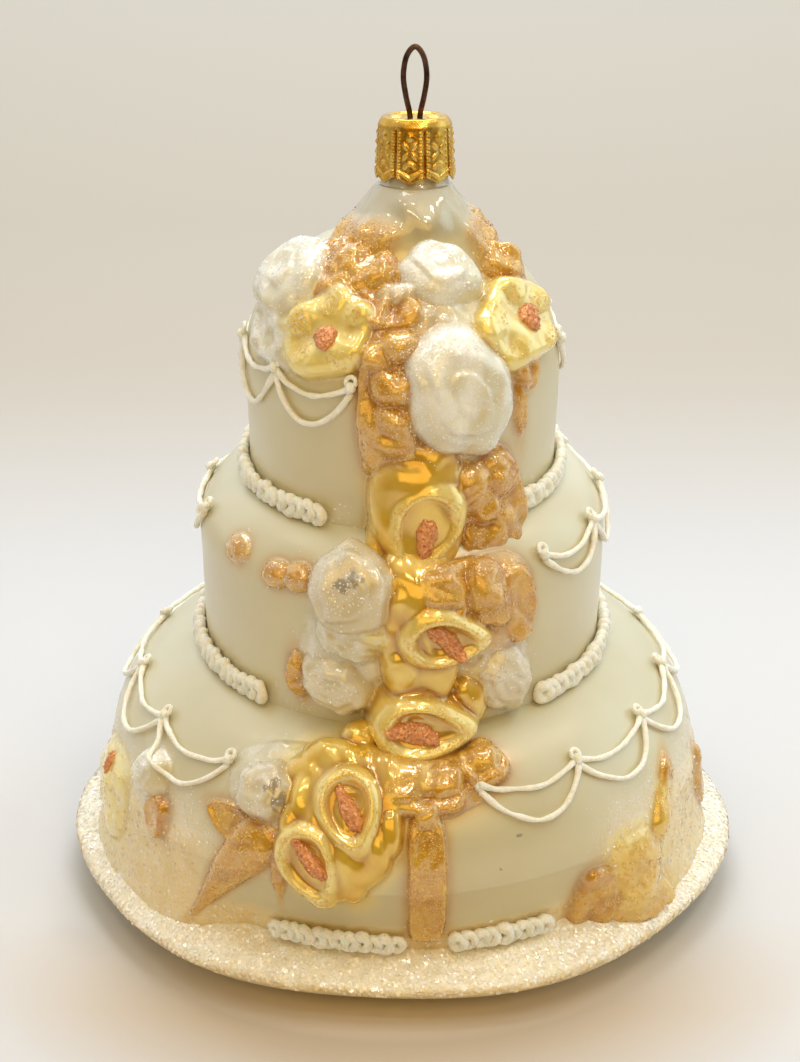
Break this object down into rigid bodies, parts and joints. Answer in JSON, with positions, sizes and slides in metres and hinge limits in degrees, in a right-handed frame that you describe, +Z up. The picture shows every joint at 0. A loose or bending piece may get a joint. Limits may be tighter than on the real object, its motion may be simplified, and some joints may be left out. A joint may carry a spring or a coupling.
{
  "type": "wedding cake ornament",
  "caption": "Blown-glass tree ornament shaped as a tiered wedding cake on a wavy glittered plate, with a fall of moulded flowers, white paste swags, a gold cap and a wire hanger.",
  "frame": {"origin": "Centre of the flat foot under the plate, on the surface that the ornament stands on.", "axes": "+Z goes up the cake to the hanger, the fall of flowers faces -Y, and +X is to the right of someone who faces the flowers."},
  "size_m": [0.1082, 0.0998, 0.1381],
  "materials": {
    "pearl_glass": "silvered glass under satin pearl cream lacquer",
    "white_paste": "matt raised paste with fine sparkle",
    "gold_foil": "pressed bright gold foil",
    "bronze_wire": "dark bronze wire",
    "yellow_lacquer": "glossy clear yellow lacquer over silvered glass",
    "amber_lacquer": "glossy amber lacquer with gold glitter",
    "coral_glitter": "coarse coral glitter",
    "white_glitter": "coarse clear and white glitter"
  },
  "bodies": {
    "root": {"glass_body": "pearl_glass", "cap": "gold_foil", "hanger_loop": "bronze_wire", "top_border": "white_paste", "middle_border": "white_paste", "bottom_border_left": "white_paste", "bottom_border_right": "white_paste", "bottom_border_back": "white_paste", "top_swags_high": "white_paste", "top_swags_low": "white_paste", "middle_swags_high": "white_paste", "middle_swags_low": "white_paste", "bottom_swags_high": "white_paste", "bottom_swags_low": "white_paste"}
  },
  "joints": []
}
